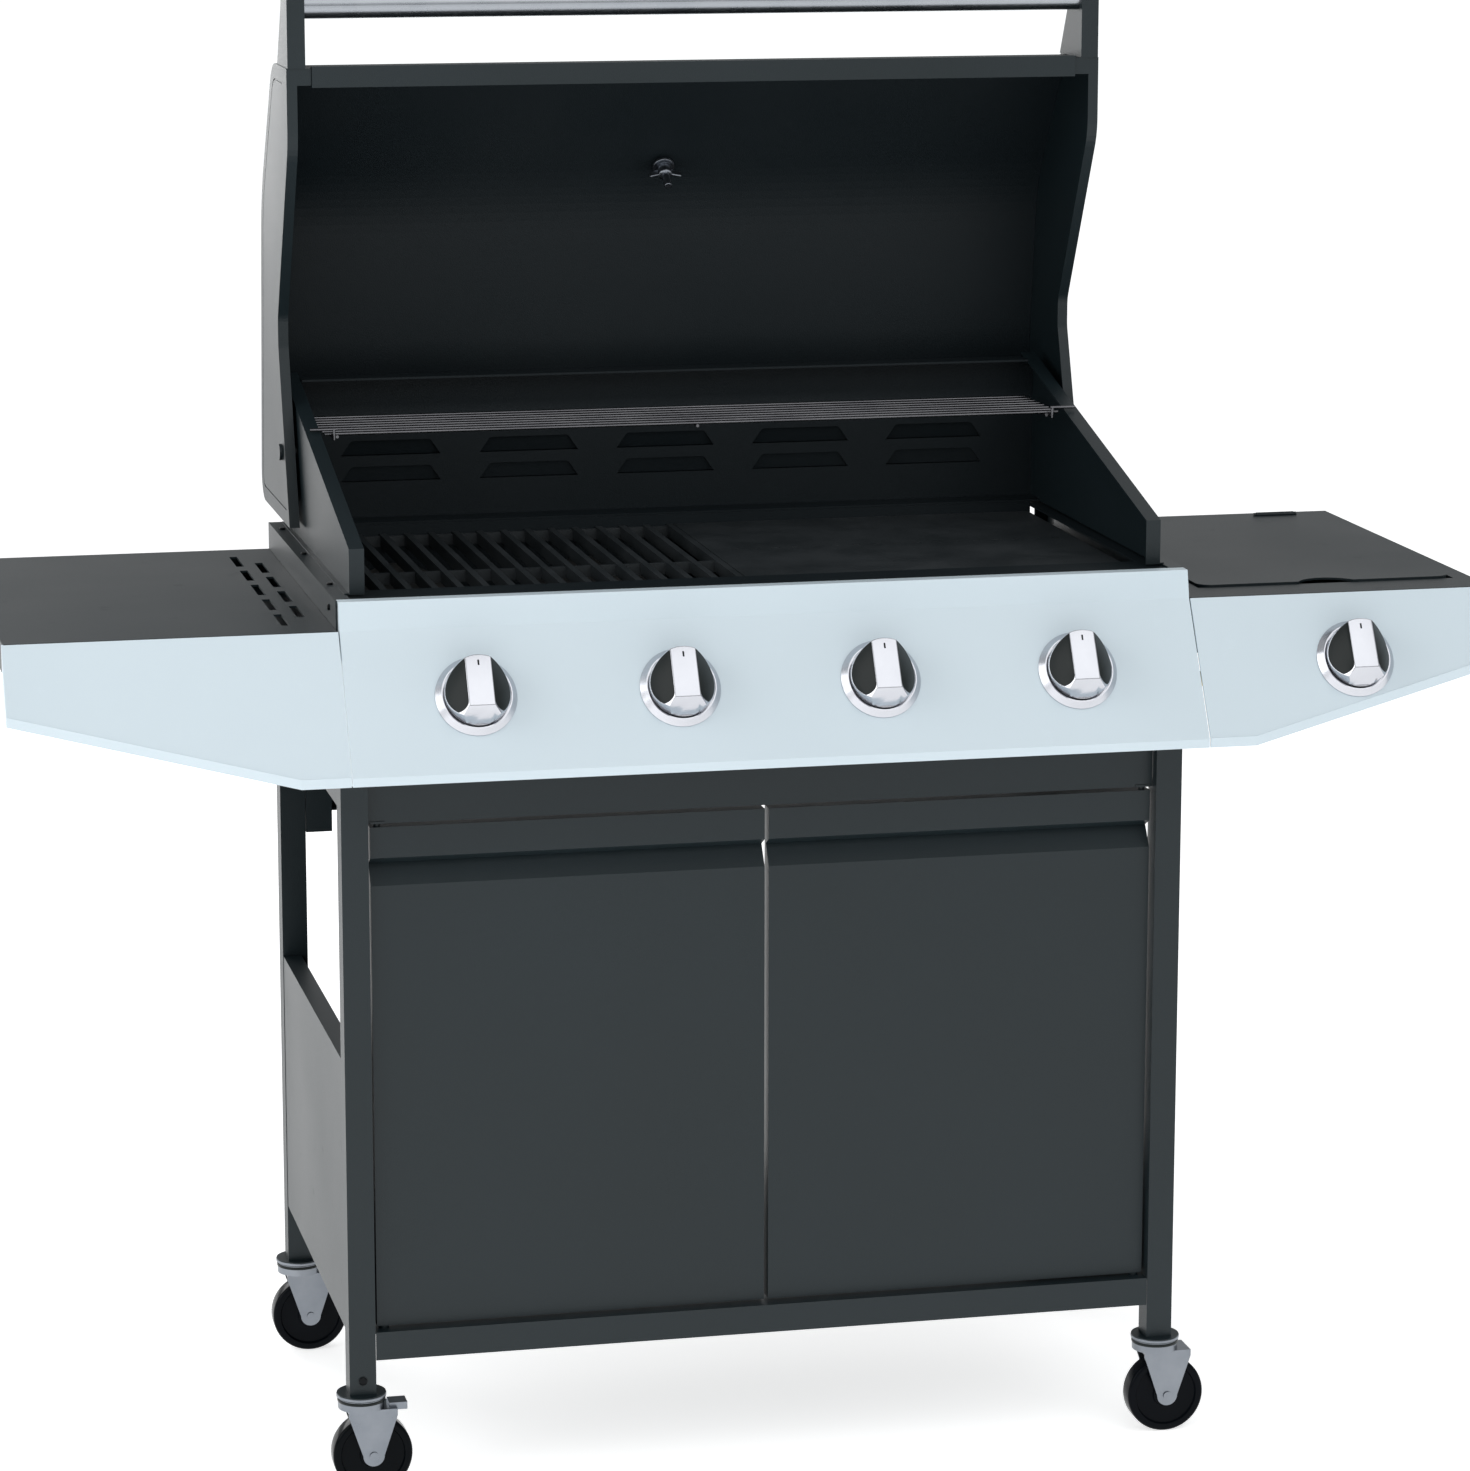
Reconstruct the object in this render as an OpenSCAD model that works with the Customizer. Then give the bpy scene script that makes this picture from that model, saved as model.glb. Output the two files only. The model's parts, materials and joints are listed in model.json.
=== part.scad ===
// Gas barbecue grill on a cabinet with four casters. Sizes in millimetres.
// +X right, +Y to the back, +Z up. The origin is on the floor, under the middle of the body.
// The lid is drawn open and every other moving piece in its resting place.

/* [Body] */
// Width over the legs
body_w = 800; // [670:10:960]
// Depth over the legs
body_d = 448; // [374:2:538]
// Height of the side rims above the floor
rim_h = 848.5; // [820:0.5:900]
// Height of the cooking surface above the floor
cook_h = 839; // [830:0.5:842]
// Side of the square leg tube
leg_s = 25; // [22:1:30]
// Thickness of the sheet metal
sheet = 2; // [1.5:0.1:2.4]

/* [Side shelves] */
// Length of each side shelf
shelf_w = 302; // [252:2:362]
// Height of the shelf tops above the floor
shelf_h = 822.5; // [815:0.5:826]

/* [Control panel] */
// Height of the panel's lower edge above the floor
panel_low = 702; // [680:1:708]
// How far the lower edge stands out from the legs
panel_out = 81; // [70:1:96]
// Distance between neighbouring knobs
knob_pitch = 188; // [150:1:195]
// Diameter of a knob
knob_dia = 61; // [51:1:73]
// How far a knob pushes in
knob_push = 4; // [3:0.5:5]

/* [Lid] */
// Height of the lid's top at the back, above the pivots
lid_rise = 164; // [150:1:190]
// Diameter of the handle bar
handle_dia = 25; // [20:1:28]

/* [Cabinet] */
// Height of the top edge of the doors
door_top = 636; // [560:1:640]
// Height of the bottom shelf's upper face
floor_top = 157; // [150:1:175]
// Height of the side panels' upper edge
side_top = 415; // [330:1:500]

/* [Casters] */
// Diameter of the caster wheels
wheel_dia = 75; // [63:1:90]
// Distance from the swivel axis to the axle
trail = 9; // [7:1:14]

/* [Hidden] */
$fn = 64;
eps = 0.01;
fit = 0.05;

half_w = body_w / 2;
front_y = -body_d / 2;
back_y = body_d / 2;
leg_x = half_w - leg_s / 2;
body_front = front_y - 5;
body_back = back_y + 15;
rim_in = half_w - 13;
cheek_x = rim_in - 2.5;

// Control panel, side view
crease_y = front_y - 11;
low_y = front_y - panel_out;
lip = 8;
face_run = crease_y - low_y;
face_rise = shelf_h - panel_low;
face_len = sqrt(face_run * face_run + face_rise * face_rise);
lean = atan(face_run / face_rise);
bezel_r = knob_dia / 2 + 7;
bezel_to_edge = 34.83;
knob_down = face_len - bezel_to_edge - bezel_r;
knob_y = crease_y - knob_down * sin(lean);
knob_z = shelf_h - knob_down * cos(lean);
knob_xs = [-1.5 * knob_pitch, -0.5 * knob_pitch, 0.5 * knob_pitch, 1.5 * knob_pitch,
           half_w + 2 + shelf_w / 2];
stem_r = 3;
pipe_r = 7;
pipe_y = front_y - 12;
pipe_back = (pipe_y - knob_y) / cos(lean);
pipe_z = knob_z - pipe_back * sin(lean);
inlet_x = -half_w + 60;
inlet_r = 6.6;

// Firebox and cooking surface
cook_d = body_d - 88;
cook_back = back_y - 24;
cook_front = cook_back - cook_d;
cook_t = 12;
ledge_z = cook_h - cook_t;
box_x = half_w - leg_s - 3;
box_low = panel_low + 14;
wall_front = cook_front + 6;
wall_back = cook_back - 6;
tray_z = box_low - 28;
tray_x = half_w - 100;
tray_d = cook_d + 20;
burner_z = pipe_z + 16.4;
burner_r = 12;
tamer_z = burner_z + 23;

// Cheeks, back panel and rack
knee_y = front_y + 31;
knee_z = rim_h + 42;
cheek_top = rim_h + 149.5;
cheek_back = body_back - 2 * sheet - 0.3;
cheek_slope = (cheek_top - knee_z) / (body_back - knee_y);
cheek_flange = 14;
rack_back = back_y - 24;
rack_front = rack_back - 114;
rack_z = rim_h + 107.5;
rack_x = cheek_x - cheek_flange - 5;

// Lid: drawn closed around the pivot, then turned open
lid_reach = body_d - 74;
pivot_y = front_y + lid_reach;
pivot_h = rim_h + 82.5;
lid_open = 90;
lid_x = half_w - 2;
shell_gap = sheet + 0.2;
pin_r = 5;
beam_x = half_w - 26;
lid_low = -77;
lid_flange = 10;
front_band = 16;
shell_end = 96;
lid_back = 68;
bracket_t = 17;
bracket_x = lid_x - 1 - bracket_t / 2;
bar_out = 58;
bar_z = -62;

// Side shelves
shelf_in = half_w + 2;
shelf_out = half_w + shelf_w;
shelf_back = back_y + 11;
shelf_front = crease_y + 3;
fascia_end = 69;
side_lid_w = shelf_w - 50;
side_lid_d = body_d - 63;
side_lid_x = half_w + 3 + shelf_w / 2;
side_lid_back = back_y - 20;
side_lid_front = side_lid_back - side_lid_d;
well_deep = 62;
lid_top_z = shelf_h + 2;
hinge_y = side_lid_back + 2.5;
hinge_z = shelf_h + 2.9;
hinge_len = 40;
hinge_xs = [side_lid_x - side_lid_w / 2 + 24, side_lid_x + side_lid_w / 2 - 24 - hinge_len];
hinge_pin_r = 1.25;
barrel_r = 2.5;

// Cabinet
floor_low = floor_top - 27;
header_low = door_top + 3;
header_top = panel_low - lip - 1;
door_face = front_y + 10;
door_t = 18;
door_gap = 3;
door_out = half_w - leg_s - door_gap;
door_in = 2;
door_pin_x = door_out - 7;
door_pin_y = door_face + 6;
door_pin_r = 3;
door_low = floor_top + 3;
rail_low = door_top - 75;
rail_high = rail_low + 20;
apron_low = door_top + 17;
side_back = back_y - leg_s - 0.5;
apron_high = rim_h - 2 - sheet;

// Casters
caster_h = wheel_dia + 22;
wheel_r = wheel_dia / 2;
wheel_w = 22;
disc_r = 23;
fork_top = caster_h - 4.5;
fork_low = fork_top - 10;
fork_in = wheel_w / 2 + 1.5;
fork_t = 2.5;
axle_r = 4;

// ---------- helpers ----------

// Box between two values on each axis
module slab(x, y, z) {
  translate([x[0], y[0], z[0]])
    cube([x[1] - x[0], y[1] - y[0], z[1] - z[0]]);
}

// Side-view outline (Y, Z) drawn out along X
module along_x(points, x) {
  translate([x[0], 0, 0])
    rotate([90, 0, 90])
      linear_extrude(x[1] - x[0])
        polygon(points);
}

// Round bar along X, Y or Z from its start
module rod_x(at, len, r) {
  translate(at)
    rotate([0, 90, 0])
      cylinder(h = len, r = r);
}

module rod_y(at, len, r) {
  translate(at)
    rotate([-90, 0, 0])
      cylinder(h = len, r = r);
}

module rod_z(at, len, r) {
  translate(at)
    cylinder(h = len, r = r);
}

// Copy on both sides of the middle
module both_sides() {
  children();
  mirror([1, 0, 0])
    children();
}

function unit(v) = v / norm(v);
function left_of(v) = [-v[1], v[0]];

// Points of a path moved t to its left, with mitred corners
function shifted(p, t) = [for (i = [0 : len(p) - 1])
  let (a = unit(i == 0 ? p[1] - p[0] : p[i] - p[i - 1]),
       b = unit(i == len(p) - 1 ? p[i] - p[i - 1] : p[i + 1] - p[i]),
       m = unit(left_of(a) + left_of(b)))
  p[i] + m * t / (m * left_of(a))];

function reversed(p) = [for (i = [len(p) - 1 : -1 : 0]) p[i]];

// Outline of a bent sheet that follows a path
function bent(p, t) = concat(p, reversed(shifted(p, t)));

// Closed outline moved t inwards, for a clockwise or counterclockwise turn of points
function inset(p, t) = [for (i = [0 : len(p) - 1])
  let (n = len(p),
       a = unit(p[i] - p[(i + n - 1) % n]),
       b = unit(p[(i + 1) % n] - p[i]),
       m = unit(left_of(a) + left_of(b)))
  p[i] + m * t / (m * left_of(a))];

// Corner q of the path o-q-s rounded with radius r, in n steps
function corner(o, q, s, r, n) =
  let (a = unit(o - q),
       b = unit(s - q),
       half = acos(a * b) / 2,
       c = q + unit(a + b) * r / sin(half),
       t1 = q + a * r / tan(half),
       t2 = q + b * r / tan(half),
       a1 = atan2(t1[1] - c[1], t1[0] - c[0]),
       a2 = atan2(t2[1] - c[1], t2[0] - c[0]),
       d = a2 - a1 > 180 ? a2 - a1 - 360 : a2 - a1 < -180 ? a2 - a1 + 360 : a2 - a1)
  [for (k = [0 : n]) c + r * [cos(a1 + d * k / n), sin(a1 + d * k / n)]];

// ---------- frame and cabinet ----------

// Leg tube with the caster's fixed disc and stem under it
module leg(x, y) {
  difference() {
    slab([x - leg_s / 2, x + leg_s / 2], [y - leg_s / 2, y + leg_s / 2], [caster_h, shelf_h - 4]);
    slab([x - leg_s / 2 + sheet, x + leg_s / 2 - sheet], [y - leg_s / 2 + sheet, y + leg_s / 2 - sheet],
         [caster_h + 12, shelf_h]);
  }
  rod_z([x, y, caster_h - 4], 4 + eps, disc_r);
  rod_z([x, y, fork_low + 1], caster_h - fork_low, pin_r);
}

module leg_front_left() {
  color("#30363c")
    leg(-leg_x, front_y + leg_s / 2);
}

module leg_front_right() {
  color("#30363c")
    leg(leg_x, front_y + leg_s / 2);
}

module leg_rear_left() {
  color("#30363c")
    leg(-leg_x, back_y - leg_s / 2);
}

module leg_rear_right() {
  color("#30363c")
    leg(leg_x, back_y - leg_s / 2);
}

// Tray-shaped shelf whose front flange is the rail under the doors
module bottom_shelf() {
  inner = half_w - leg_s - 0.5;
  color("#2c3238") {
    slab([-inner, inner], [front_y + leg_s + 1, back_y - leg_s - 1], [floor_top - sheet, floor_top]);
    slab([-inner, inner], [front_y, front_y + leg_s + 1 + eps], [floor_top - sheet, floor_top]);
    slab([-inner, inner], [back_y - leg_s - 1 - eps, back_y], [floor_top - sheet, floor_top]);
    slab([-inner, inner], [front_y, front_y + sheet], [floor_low, floor_top]);
    slab([-inner, inner], [back_y - sheet, back_y], [floor_low, floor_top]);
    both_sides() {
      slab([inner - eps, half_w - sheet - 1], [-side_back + sheet + 0.5, side_back - sheet - 0.5],
           [floor_top - sheet, floor_top]);
      rod_z([door_pin_x, door_pin_y, floor_top - eps], 3 + 8, door_pin_r);
      rod_z([door_pin_x, door_pin_y, floor_top - eps], 2.5, 5);
    }
  }
}

module rear_rail() {
  inner = half_w - leg_s - 0.5;
  color("#22272b") {
    along_x(bent([[back_y - 20, rail_low], [back_y - 1, rail_low], [back_y - 1, rail_high],
                  [back_y - 20, rail_high]], sheet), [-inner, inner]);
    both_sides()
      slab([inner - 26, inner], [back_y - 26, back_y - 24 + 4 + eps], [rail_low - 20, rail_high + 40]);
  }
}

// Cross piece above the doors, with the doors' upper pins
module header() {
  inner = half_w - leg_s - 0.5;
  face = front_y + 12;
  color("#262b30") {
    along_x(bent([[face + 24, header_low], [face, header_low], [face, header_top],
                  [face + 24, header_top]], -sheet), [-inner, inner]);
    both_sides() {
      rod_z([door_pin_x, door_pin_y, door_top - 7], header_low - door_top + 7 + sheet, door_pin_r);
      slab([door_pin_x - 7, door_pin_x + 7], [door_pin_y - 5, face + eps],
           [header_low, header_low + sheet]);
    }
  }
}

// Outer sheet between the legs, with a flange turned in along its edges
module side_panel() {
  low = floor_top - 2;
  back = side_back;
  out = half_w - 0.5;
  color("#9ea2a5") {
    slab([out - sheet, out], [-back, back], [low, side_top]);
    slab([out - 18, out], [-back, back], [side_top - sheet, side_top]);
    slab([out - 18, out], [-back, -back + sheet], [floor_top + 1, side_top]);
    slab([out - 18, out], [back - sheet, back], [floor_top + 1, side_top]);
  }
}

module side_panel_right() {
  side_panel();
}

module side_panel_left() {
  mirror([1, 0, 0])
    side_panel();
}

// Upper side sheets between the legs, below the rims
module side_aprons() {
  out = half_w - 1.4;
  color("#8b9094")
    both_sides() {
      slab([out - sheet, out], [-side_back, side_back], [apron_low, apron_high]);
      slab([out - 18, out], [-side_back, side_back], [apron_low, apron_low + sheet]);
    }
}

// ---------- firebox and cooking surface ----------

module firebox() {
  deck_front = body_front + sheet + 1;
  deck_back = body_back - sheet - 2;
  deck_top = rim_h - sheet - 0.05;
  deck_x = rim_in + 8;
  slot_y = 60;
  color("#1a1e20") {
    difference() {
      union() {
        slab([-box_x, box_x], [wall_front - sheet, wall_back + sheet], [box_low, ledge_z]);
        slab([-box_x, box_x], [deck_front, deck_back], [ledge_z - sheet, ledge_z]);
        slab([-deck_x, deck_x], [deck_front, deck_back], [deck_top - sheet, deck_top]);
        slab([-box_x, box_x], [deck_front, cook_front - 1], [ledge_z - sheet, deck_top]);
        slab([-box_x, box_x], [cook_back + 1, deck_back], [ledge_z - sheet, rim_h - 0.1]);
      }
      slab([-box_x + sheet, box_x - sheet], [wall_front, wall_back], [box_low + sheet, rim_h]);
      slab([-box_x + 1.5, box_x - 1.5], [cook_front - 1, cook_back + 1], [ledge_z, rim_h]);
      slab([-box_x + sheet, box_x - sheet], [deck_front - 1, cook_front - 1 - sheet],
           [ledge_z - sheet - 1, deck_top - sheet]);
      slab([-box_x + sheet, box_x - sheet], [cook_back + 1 + sheet, deck_back + 1],
           [ledge_z - sheet - 1, rim_h - 0.1 - sheet]);
      slab([70 - tray_x, tray_x - 70], [10 - slot_y / 2, 10 + slot_y / 2],
           [box_low - 1, box_low + sheet + 1]);
      for (x = [0 : 3])
        rod_y([knob_xs[x], wall_front - 10, burner_z], 20, burner_r + 1);
    }
    // Inner shelves that carry the flame tamers and the burners' ends
    slab([-box_x + sheet - eps, box_x - sheet + eps], [wall_front - eps, wall_front + 12],
         [tamer_z - 2, tamer_z]);
    slab([-box_x + sheet - eps, box_x - sheet + eps], [wall_back - 12, wall_back + eps],
         [tamer_z - 2, tamer_z]);
    slab([-box_x + sheet - eps, box_x - sheet + eps], [wall_back - 24, wall_back + eps],
         [burner_z - burner_r - 2, burner_z - burner_r]);
    // Runners for the grease tray
    both_sides()
      tray_runner();
  }
}

module tray_runner() {
  slab([tray_x + 3, tray_x + 5], [wall_front + 2, wall_back + sheet], [tray_z - 3, box_low + eps]);
  slab([tray_x - 12, tray_x + 5], [wall_front + 2, wall_back + sheet], [tray_z - 3, tray_z - 1]);
}

// Side of the cooking space: sloped upper edge with a flange turned in
module cheek() {
  top = knee_z + cheek_slope * (cheek_back - knee_y);
  edge = [[knee_y, rim_h], [knee_y, knee_z], [cheek_back, top]];
  color("#8a8e90") {
    along_x(concat(edge, [[cheek_back, rim_h]]), [cheek_x - sheet, cheek_x]);
    along_x(bent(edge, -sheet), [cheek_x - cheek_flange, cheek_x]);
    slab([cheek_x - sheet, rim_in + 2], [knee_y + 2, body_back - 6], [rim_h, rim_h + 1]);
    rod_x([cheek_x - eps, pivot_y, pivot_h], lid_x + 0.5 + 2 * eps - cheek_x, pin_r);
    rod_x([lid_x + 0.5, pivot_y, pivot_h], 3, 8);
  }
}

module cheek_right() {
  cheek();
}

module cheek_left() {
  mirror([1, 0, 0])
    cheek();
}

// One louvre opening: flat bottom, ends leaning in, rounded top corners
module louvre_hole(w, h) {
  r = 5;
  cx = w / 2 - r - 8;
  cy = h - r;
  end = [cx + r * cos(35), cy + r * sin(35)];
  polygon([[-w / 2, 0], [w / 2, 0], end, [cx, cy], [cx, h], [-cx, h], [-cx, cy], [-end[0], end[1]]]);
  for (side = [-1, 1])
    translate([side * cx, cy])
      circle(r);
}

module back_panel() {
  inner = cheek_x;
  low_in = cheek_x - sheet - 0.5;
  flange_in = cheek_x - cheek_flange - 0.5;
  y = body_back - sheet;
  top = cheek_top - 5;
  web_top = top - sheet - 6;
  louvre_w = 0.26 * inner;
  pitch = 0.3623 * inner;
  louvre_h = 15;
  low = rim_h + 37.5;
  row_gap = 26;
  color("#22272a") {
    difference() {
      union() {
        slab([-inner, inner], [y - sheet, y], [rim_h, web_top]);
        slab([-low_in, low_in], [y - 35, y - eps], [rim_h, rim_h + sheet]);
        along_x(bent([[y - 30, top], [y, top], [y, web_top - eps]], -sheet), [-flange_in, flange_in]);
      }
      for (col = [-2 : 2])
        for (row = [0, 1])
          translate([col * pitch, y + sheet + 1, low + row * row_gap])
            rotate([90, 0, 0])
              linear_extrude(sheet + 4)
                louvre_hole(louvre_w, louvre_h);
    }
    for (col = [-2 : 2])
      for (row = [0, 1])
        translate([col * pitch, 0, low + row * row_gap])
          louvre_hood(louvre_w, y, louvre_h);
  }
}

// Sloping hood behind a louvre, open at its lower edge
module louvre_hood(w, y, h) {
  along_x([[y - eps, h + 3], [y - eps, h], [y + 5, 0], [y + 6, 0], [y + 6, 1]], [-w / 2, w / 2]);
  both_sides()
    along_x([[y - eps, h + 3], [y - eps, 0], [y + 6, 0], [y + 6, 1]], [w / 2, w / 2 + 1.5]);
}

// Rim at each side of the cooking space, standing above the shelf
module body_side() {
  out = shelf_in - 0.3;
  skin = 1.5;
  low = shelf_h - 24;
  color("#9a9ea1") {
    slab([out - skin, out], [front_y + 1, body_back - 2], [low, rim_h]);
    slab([rim_in, out], [body_back - 4, body_back - 2], [low, rim_h]);
    slab([rim_in, out], [body_front + 16, body_back - 2], [rim_h - sheet, rim_h]);
  }
}

module body_side_right() {
  body_side();
}

module body_side_left() {
  mirror([1, 0, 0])
    body_side();
}

// Four tube burners with a flared mouth at the front
module burners() {
  mouth = front_y + 14;
  color("#9b958a")
    for (i = [0 : 3])
      difference() {
        union() {
          rod_y([knob_xs[i], mouth, burner_z], wall_back - 8 - mouth, burner_r);
          rod_y([knob_xs[i], mouth, burner_z], 10, burner_r + 3);
        }
        rod_y([knob_xs[i], mouth - 1, burner_z], wall_back - 12 - mouth, burner_r - 1.5);
        for (k = [0 : 17])
          rod_x([knob_xs[i] - burner_r - 1, wall_front + 40 + 15 * k, burner_z + 4], 2 * burner_r + 2, 1.2);
      }
}

// Roof-shaped sheets over the burners
module flame_tamers() {
  half = knob_pitch / 2 - 32;
  rise = 26;
  ridge = 10;
  roof = [[-half, 0], [-half, 4], [-ridge, rise], [ridge, rise], [half, 4], [half, 0]];
  color("#4a4a48")
    for (i = [0 : 3])
      translate([knob_xs[i], wall_front + 3, tamer_z])
        rotate([90, 0, 180])
          linear_extrude(wall_back - wall_front - 6)
            polygon(bent(roof, -1.5));
}

// Supply pipe with five valve bodies, four jets and the gas inlet
module gas_manifold() {
  color("#b8a878")
    difference() {
      union() {
        rod_x([inlet_x, pipe_y, pipe_z], knob_xs[4] + 14 - inlet_x, pipe_r);
        translate([inlet_x, pipe_y, pipe_z])
          sphere(pipe_r);
        rod_z([inlet_x, pipe_y, pipe_z - 26], 26, pipe_r + 2);
        rod_z([inlet_x, pipe_y, pipe_z - 44], 20, inlet_r);
        for (x = knob_xs)
          valve_place(x)
            cylinder(h = pipe_back - 9, r = 9);
        for (i = [0 : 3])
          rod_y([knob_xs[i], pipe_y, burner_z], 26, 4);
        for (i = [0 : 3])
          slab([knob_xs[i] - 5, knob_xs[i] + 5], [pipe_y - 5, pipe_y + 5], [pipe_z, burner_z + 5]);
      }
      for (x = knob_xs)
        valve_place(x)
          translate([0, 0, 8])
            cylinder(h = pipe_back, r = stem_r + fit);
      rod_z([inlet_x, pipe_y, pipe_z - 45], 38, 4);
    }
}

// Puts its children on the pipe, with +Z along a knob's axis
module valve_place(x) {
  knob_place(x)
    translate([0, 0, -pipe_back])
      children();
}

// Puts its children on the panel's face, with +Z standing out of it
module knob_place(x) {
  translate([x, knob_y, knob_z])
    rotate([90 - lean, 0, 0])
      children();
}

// Left half: open bars over cross bars
module cooking_grate() {
  left = -box_x + 3;
  right = -0.5;
  bar = 6.5;
  rib = 5;
  n = 15;
  pitch = (right - left - bar) / n;
  color("#15181a") {
    for (i = [0 : n])
      slab([left + i * pitch, left + i * pitch + bar], [cook_front, cook_back], [cook_h - cook_t, cook_h]);
    for (y = [cook_front + 2, cook_front + 0.38 * cook_d, cook_back - 2 - rib])
      slab([left, right], [y, y + rib], [cook_h - cook_t, cook_h - 1.5]);
  }
}

// Right half: flat plate with a row of slots and a low lip
module griddle() {
  left = 0.5;
  right = box_x - 3;
  slot_pitch = 20.2;
  slot_at = cook_front + 0.533 * cook_d;
  plate = 5;
  color("#1c2023")
    difference() {
      slab([left, right], [cook_front, cook_back], [cook_h - cook_t, cook_h]);
      for (x = [0, 1])
        slab([left + 8 + x * (right - left - 12) / 2, left + 4 + (x + 1) * (right - left - 12) / 2],
             [cook_front + 8, cook_back - 8], [cook_h - cook_t - 1, cook_h - plate]);
      for (i = [0 : floor((right - left - 44) / slot_pitch)])
        slab([left + 22 + i * slot_pitch, left + 30 + i * slot_pitch], [slot_at, slot_at + 4],
             [cook_h - cook_t - 1, cook_h + 1]);
    }
}

// Eight long wires on two end wires that hook over the cheeks
module warming_rack() {
  wire = 1.5;
  n = 8;
  pitch = (rack_back - rack_front) / (n - 1);
  hook_y = rack_front - 6;
  hook_z = knee_z + cheek_slope * (hook_y - knee_y);
  color("#5a5f62") {
    for (i = [0 : n - 1])
      rod_x([-rack_x, rack_front + i * pitch, rack_z], 2 * rack_x, wire);
    both_sides() {
      rod_y([rack_x - 8, hook_y - 2, rack_z - 2 * wire + 0.5], rack_back - hook_y + 6, wire);
      rod_z([rack_x - 8, hook_y - 2, rack_z - 2 * wire - 1.5], hook_z + 8 - rack_z, wire);
      rod_x([rack_x - 10, hook_y - 2, hook_z + 3.2], cheek_x - rack_x + 6, wire);
    }
    for (x = [-rack_x + 12, 0, rack_x - 12])
      rod_y([x, rack_front - 2, rack_z - 2 * wire + 0.5], rack_back - rack_front + 4, wire);
  }
}

module grease_tray() {
  y0 = wall_back + 12 - tray_d;
  y1 = wall_back + 12;
  color("#6d7072") {
    difference() {
      slab([-tray_x + 4, tray_x - 4], [y0, y1], [tray_z, tray_z + 18]);
      slab([-tray_x + 6, tray_x - 6], [y0 + 2, y1 - 2], [tray_z + 2, tray_z + 19]);
    }
    slab([-60, 60], [y1 - eps, y1 + 14], [tray_z + 14, tray_z + 16]);
    slab([-60, 60], [y1 + 12, y1 + 14], [tray_z + 4, tray_z + 16]);
  }
}

// ---------- control panel ----------

function panel_path() = [[body_front + 14, rim_h], [body_front, rim_h], [crease_y, shelf_h],
                         [low_y, panel_low], [low_y, panel_low - lip], [low_y + 20, panel_low - lip]];

module control_panel() {
  color("#c8d2da")
    difference() {
      union() {
        along_x(bent(panel_path(), sheet), [-half_w, half_w]);
        both_sides()
          along_x([[body_front + 0.5, rim_h - 1], [crease_y + 0.5, shelf_h], [low_y + 0.5, panel_low],
                   [low_y + 0.5, panel_low - lip + 0.5], [low_y + 20, panel_low - lip + 0.5],
                   [front_y - 1, shelf_h - 60], [front_y - 1, rim_h - 1]], [half_w - sheet, half_w]);
      }
      for (i = [0 : 3])
        knob_place(knob_xs[i])
          translate([0, 0, -5])
            cylinder(h = 10, r = 9);
      both_sides()
        rod_x([half_w - 10, pipe_y, pipe_z], 20, pipe_r + 1);
    }
}

// Bevelled ring around each knob
module knob_bezels() {
  r = bezel_r;
  inner = knob_dia / 2 + 1;
  color("#d8dadc")
    for (x = knob_xs)
      knob_place(x)
        rotate_extrude()
          polygon([[inner - 8, 0.1], [r, 0.1], [r, 1.5], [r - 5, 7], [inner, 7], [inner, 2],
                   [inner - 8, 2]]);
}

module stem(x) {
  color("#a9a9a9")
    knob_place(x)
      translate([0, 0, -pipe_back + 8.5])
        cylinder(h = pipe_back - 8.5 + 14, r = stem_r);
}

module stem_1() {
  stem(knob_xs[0]);
}

module stem_2() {
  stem(knob_xs[1]);
}

module stem_3() {
  stem(knob_xs[2]);
}

module stem_4() {
  stem(knob_xs[3]);
}

module stem_5() {
  stem(knob_xs[4]);
}

// Drum with sloping sides that leave a grip across it, and a sloping foot below the grip
module knob(x) {
  r = knob_dia / 2;
  low = 3 + knob_push;
  rim = low + 3;
  high = low + 22.5;
  grip_half = 11.5;
  foot = r - 12;
  color("#c4c6c8")
    knob_place(x)
      difference() {
        intersection() {
          translate([0, 0, low])
            cylinder(h = high - low, r = r);
          rotate([90, 0, 0])
            linear_extrude(2 * r + 2, center = true)
              polygon([[-r, low], [r, low], [r, rim], [grip_half, high], [-grip_half, high], [-r, rim]]);
          along_x([[-r, low], [r, low], [r, high], [-foot, high], [-r, rim]], [-r, r]);
        }
        translate([0, 0, low - 1])
          cylinder(h = 1 + 14 - low + knob_push + 1, r = stem_r + fit);
      }
}

module knob_1() {
  knob(knob_xs[0]);
}

module knob_2() {
  knob(knob_xs[1]);
}

module knob_3() {
  knob(knob_xs[2]);
}

module knob_4() {
  knob(knob_xs[3]);
}

module knob_5() {
  knob(knob_xs[4]);
}

// ---------- side shelves ----------

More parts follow.
